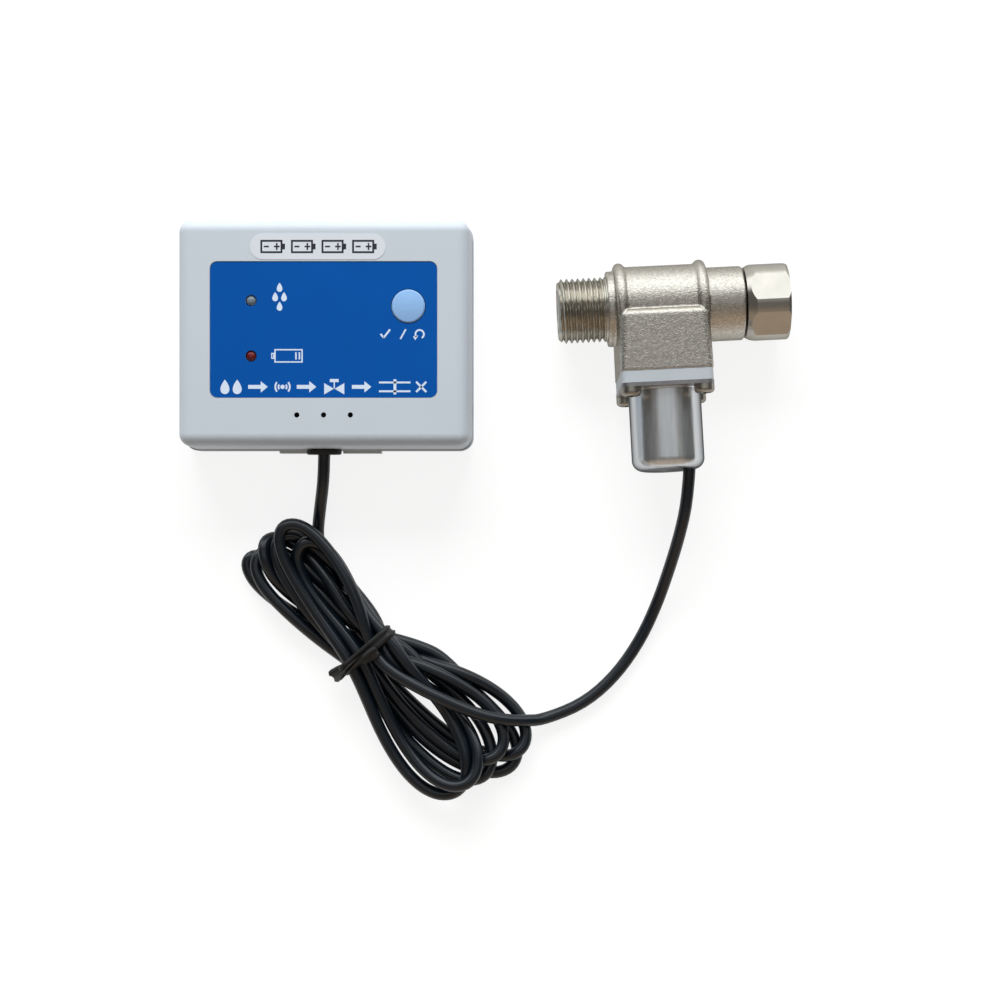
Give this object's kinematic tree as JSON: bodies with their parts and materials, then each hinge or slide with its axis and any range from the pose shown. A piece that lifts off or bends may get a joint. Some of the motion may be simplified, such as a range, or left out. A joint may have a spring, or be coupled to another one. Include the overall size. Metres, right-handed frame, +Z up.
{
  "type": "solenoid valve",
  "caption": "Latching solenoid water shut-off valve with half-inch pipe threads, wired by a tied cord to its battery control box.",
  "frame": {"origin": "on the surface that the set lies on, below the centre of the box around the rigid pieces (cord left out)", "axes": "+X from the control box towards the valve's outlet nut, +Y towards the box's top edge, +Z up out of the box's front panel"},
  "size_m": [0.1967, 0.1897, 0.0329],
  "materials": {
    "cover_plastic": "fine satin moulded ABS, cool light grey",
    "shell_plastic": "fine satin moulded ABS, cool light grey",
    "panel_film": "printed blue film, satin",
    "label_film": "white sticker with a thin dark rim",
    "button_plastic": "light blue, satin, slightly domed",
    "lamp_clear": "clear lamp lens",
    "lamp_red": "dark red diffused lamp lens",
    "black_plastic": "moulded black",
    "switch_body": "moulded black",
    "board": "green solder mask",
    "component_sleeve": "shrink sleeve",
    "connector_plastic": "moulded nylon",
    "contact_metal": "nickel-plated spring strip",
    "grommet_rubber": "black, matt",
    "stainless_plate": "rolled stainless strip",
    "cell_jacket": "plain jacket on a plated can",
    "screw_steel": "zinc-plated",
    "cord_jacket": "black PVC, semi-gloss",
    "tie_plastic": "black PVC over wire",
    "nickel_casting": "blasted casting with dull nickel plating",
    "nickel_turned": "turned and milled, satin nickel plating",
    "strainer_plastic": "moulded white",
    "spring_steel": "drawn stainless wire",
    "seal_rubber": "moulded EPDM",
    "insert_plastic": "moulded acetal",
    "cover_white": "moulded white plastic, slightly cool",
    "guide_steel": "turned ferritic stainless",
    "bobbin_plastic": "moulded nylon",
    "winding_copper": "enamelled copper wire",
    "magnet_ferrite": "sintered ferrite",
    "epoxy": "cast black epoxy",
    "can_metal": "deep-drawn can, satin, fine lengthways brushing",
    "flange_steel": "stamped stainless plate",
    "flange_screw_metal": "nickel-plated pan-head screw"
  },
  "bodies": {
    "set": {"front_cover": "cover_plastic", "rear_shell": "shell_plastic", "panel_overlay": "panel_film", "blank_label": "label_film", "led_status": "lamp_clear", "led_battery": "lamp_red", "buzzer": "black_plastic", "controller_chip": "black_plastic", "tact_switch": "switch_body", "circuit_board": "board", "capacitor": "component_sleeve", "lead_connector": "connector_plastic", "contact_plates_upper": "contact_metal", "contact_plates_lower": "contact_metal", "cord_grommet": "grommet_rubber", "sensor_plate_left": "stainless_plate", "sensor_plate_right": "stainless_plate", "battery_1": "cell_jacket", "battery_2": "cell_jacket", "battery_3": "cell_jacket", "battery_4": "cell_jacket", "housing_screw_1": "screw_steel", "housing_screw_2": "screw_steel", "housing_screw_3": "screw_steel", "housing_screw_4": "screw_steel", "cord_lead_box": "cord_jacket", "cord_hank": "cord_jacket", "cord_lead_valve": "cord_jacket", "twist_tie": "tie_plastic", "valve_body": "nickel_casting", "inlet_strainer": "strainer_plastic", "nut_ring": "spring_steel", "nut_washer": "seal_rubber", "tube_oring": "seal_rubber", "pilot_cover": "cover_white", "guide_tube": "guide_steel", "pole_core": "guide_steel", "flux_washer": "guide_steel", "flux_sleeve": "guide_steel", "coil_bobbin": "bobbin_plastic", "coil_winding": "winding_copper", "magnet": "magnet_ferrite", "potting": "epoxy", "solenoid_can": "can_metal", "flange_plate": "flange_steel", "flange_screw_1": "flange_screw_metal", "flange_screw_2": "flange_screw_metal", "flange_screw_3": "flange_screw_metal", "flange_screw_4": "flange_screw_metal"},
    "check_button": {"check_button": "button_plastic", "switch_plunger": "black_plastic"},
    "outlet_nut": {"outlet_nut": "nickel_turned"},
    "plunger": {"plunger": "guide_steel", "plunger_seal": "seal_rubber", "plunger_spring": "spring_steel"},
    "diaphragm": {"diaphragm": "seal_rubber", "diaphragm_insert": "insert_plastic"},
    "battery_door": {"battery_door": "shell_plastic"}
  },
  "joints": [
    {"name": "button_press", "type": "slide", "parent": "set", "child": "check_button", "axis": [0, 0, -1], "range_m": [0, 0.0006], "stiffness_N_per_m": 500},
    {"name": "nut_swivel", "type": "hinge", "parent": "set", "child": "outlet_nut", "pos_m": [0.09081, 0.01458, 0.01525], "axis": [0.9988, 0.048, 0], "continuous": true},
    {"name": "plunger_lift", "type": "slide", "parent": "set", "child": "plunger", "axis": [0.0478, -0.9958, 0.0785], "range_m": [0, 0.0015], "stiffness_N_per_m": 150, "deforming": ["plunger_spring"]},
    {"name": "diaphragm_lift", "type": "slide", "parent": "set", "child": "diaphragm", "axis": [0.0478, -0.9958, 0.0785], "range_m": [0, 0.002], "stiffness_N_per_m": 150, "deforming": ["diaphragm"]},
    {"name": "battery_door_slide", "type": "slide", "parent": "set", "child": "battery_door", "axis": [0, 1, 0], "range_m": [0, 0.06]}
  ]
}
